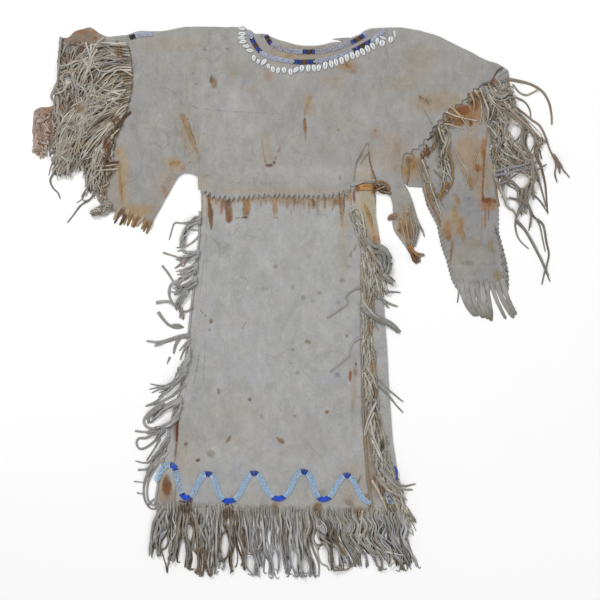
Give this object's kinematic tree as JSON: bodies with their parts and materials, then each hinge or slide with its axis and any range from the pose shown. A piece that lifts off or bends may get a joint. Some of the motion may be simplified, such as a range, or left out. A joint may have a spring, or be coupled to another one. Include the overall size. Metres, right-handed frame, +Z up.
{
  "type": "beaded hide dress",
  "caption": "Hide dress laid flat: wide open sleeves with hanging leg points, fringed sides and hem, beaded lanes at neck and hem, and a row of shells.",
  "frame": {"origin": "on the flat underside of the skirt, at the middle of the dress's width and length", "axes": "+Z up from the surface the dress lies on, +Y from hem to neck, +X to the viewer's right looking down on the front"},
  "size_m": [1.1706, 1.2101, 0.0106],
  "materials": {
    "hide": "matt, brushed and stained",
    "fringe": "matt, soiled",
    "beads": "glossy, opaque",
    "shell": "polished"
  },
  "bodies": {
    "root": {"yoke_back": "hide", "yoke_front": "hide", "skirt_back": "hide", "skirt_front": "hide", "hem_lane": "beads", "neck_lane_outer": "beads", "neck_lane_inner": "beads", "shoulder_lane": "beads", "shell_row": "shell", "fringe_sleeve_left": "fringe", "fringe_sleeve_right": "fringe", "fringe_side_left": "fringe", "fringe_side_right": "fringe", "fringe_hem_back": "fringe", "fringe_hem_front": "fringe", "fringe_leg_right": "fringe", "fringe_leg_left": "fringe"}
  },
  "joints": []
}
